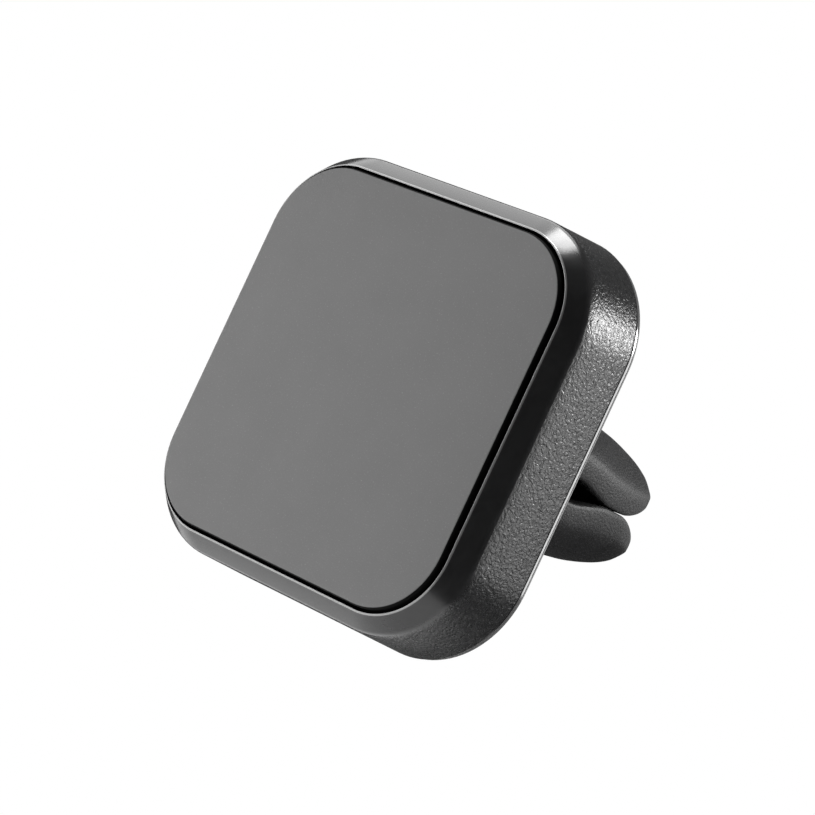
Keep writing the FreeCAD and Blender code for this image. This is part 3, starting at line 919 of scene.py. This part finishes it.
FLOOR_SIZE = 270 * MM
FLOOR_PLACE = (-70 * MM, -90 * MM, -60 * MM)
FLOOR_GLOW = 0.4
MOUNT_MIDDLE = Vector((0, 15 * MM, 0))
CEILING_SHINES_ALONG = Vector((0.52, -0.1, -0.85))
CEILING_SPREAD = 56
CEILING_STRENGTH = 1.75
ROOM_GLOW = 0.07
BACKDROP_GLOW = 1.0
CAMERA_PLACE = (218.2 * MM, -234.3 * MM, -11.9 * MM)
CAMERA_TURN = (92.32, -24.99, 40.98)
CAMERA_LENS = 150.4
CAMERA_NEAR = 10 * MM

# Name, place, size and brightness of each softbox.
SOFTBOXES = (("top_accent", (-0.115, 0.0, 0.5), 0.2, 12.0),
             ("left_front", (-0.5, -0.55, 0.08), 0.6, 3.7),
             ("right_back", (0.45, 0.47, 0.09), 0.3, 3.6),
             ("right_accent", (0.35, 0.44, 0.27), 0.16, 36.0),
             ("behind", (0.0, 0.6, 0.1), 0.3, 1.0))


def make_floor():
    """Plain pale floor, which glows a little so that it stays white."""
    bpy.ops.object.select_all(action="DESELECT")
    bpy.ops.mesh.primitive_plane_add(size=FLOOR_SIZE, location=FLOOR_PLACE)
    floor = bpy.context.object
    floor.name = "floor"
    apply_place(floor)
    material, nodes, links, shader, place = start_finish("pale_floor")
    cloud = noise(nodes, links, place, 0.2, 3)
    links.new(ramp(nodes, links, cloud, grey(0.8), grey(0.84)), shader.inputs["Base Color"])
    shader.inputs["Roughness"].default_value = 0.9
    shader.inputs["Emission Color"].default_value = (1, 1, 1, 1)
    shader.inputs["Emission Strength"].default_value = FLOOR_GLOW
    floor.data.materials.append(material)


def point_light(lamp, direction):
    """Turns a lamp so that it shines along a direction."""
    lamp.rotation_euler = direction.to_track_quat("-Z", "Y").to_euler()


def softbox(name, place, size, brightness):
    """Square area light that looks at the mount; brightness is its radiance."""
    light = bpy.data.lights.new(name, "AREA")
    light.shape = "SQUARE"
    light.size = size
    light.energy = brightness * math.pi * size ** 2
    lamp = bpy.data.objects.new(name, light)
    bpy.context.collection.objects.link(lamp)
    lamp.location = place
    point_light(lamp, MOUNT_MIDDLE - Vector(place))


def ceiling():
    """Wide soft light from above and from the left."""
    light = bpy.data.lights.new("ceiling", "SUN")
    light.angle = math.radians(CEILING_SPREAD)
    light.energy = CEILING_STRENGTH
    lamp = bpy.data.objects.new("ceiling", light)
    bpy.context.collection.objects.link(lamp)
    point_light(lamp, CEILING_SHINES_ALONG)


def light_scene():
    """Soft studio light, with a white backdrop that only the camera sees at full strength."""
    ceiling()
    for name, place, size, brightness in SOFTBOXES:
        softbox(name, place, size, brightness)
    world = bpy.data.worlds.new("white_room")
    world.use_nodes = True
    bpy.context.scene.world = world
    nodes = world.node_tree.nodes
    links = world.node_tree.links
    dim = nodes["Background"]
    dim.inputs["Color"].default_value = (1, 1, 1, 1)
    dim.inputs["Strength"].default_value = ROOM_GLOW
    white = nodes.new("ShaderNodeBackground")
    white.inputs["Color"].default_value = (1, 1, 1, 1)
    white.inputs["Strength"].default_value = BACKDROP_GLOW
    ray = nodes.new("ShaderNodeLightPath")
    mix = nodes.new("ShaderNodeMixShader")
    links.new(ray.outputs["Is Camera Ray"], mix.inputs["Fac"])
    links.new(dim.outputs["Background"], mix.inputs[1])
    links.new(white.outputs["Background"], mix.inputs[2])
    links.new(mix.outputs["Shader"], nodes["World Output"].inputs["Surface"])


def place_camera():
    lens = bpy.data.cameras.new("camera")
    lens.lens = CAMERA_LENS
    lens.clip_start = CAMERA_NEAR
    camera = bpy.data.objects.new("camera", lens)
    bpy.context.collection.objects.link(camera)
    camera.location = CAMERA_PLACE
    camera.rotation_euler = [math.radians(turn) for turn in CAMERA_TURN]
    bpy.context.scene.camera = camera


make_floor()
light_scene()
place_camera()
bpy.context.scene.view_settings.view_transform = "Standard"
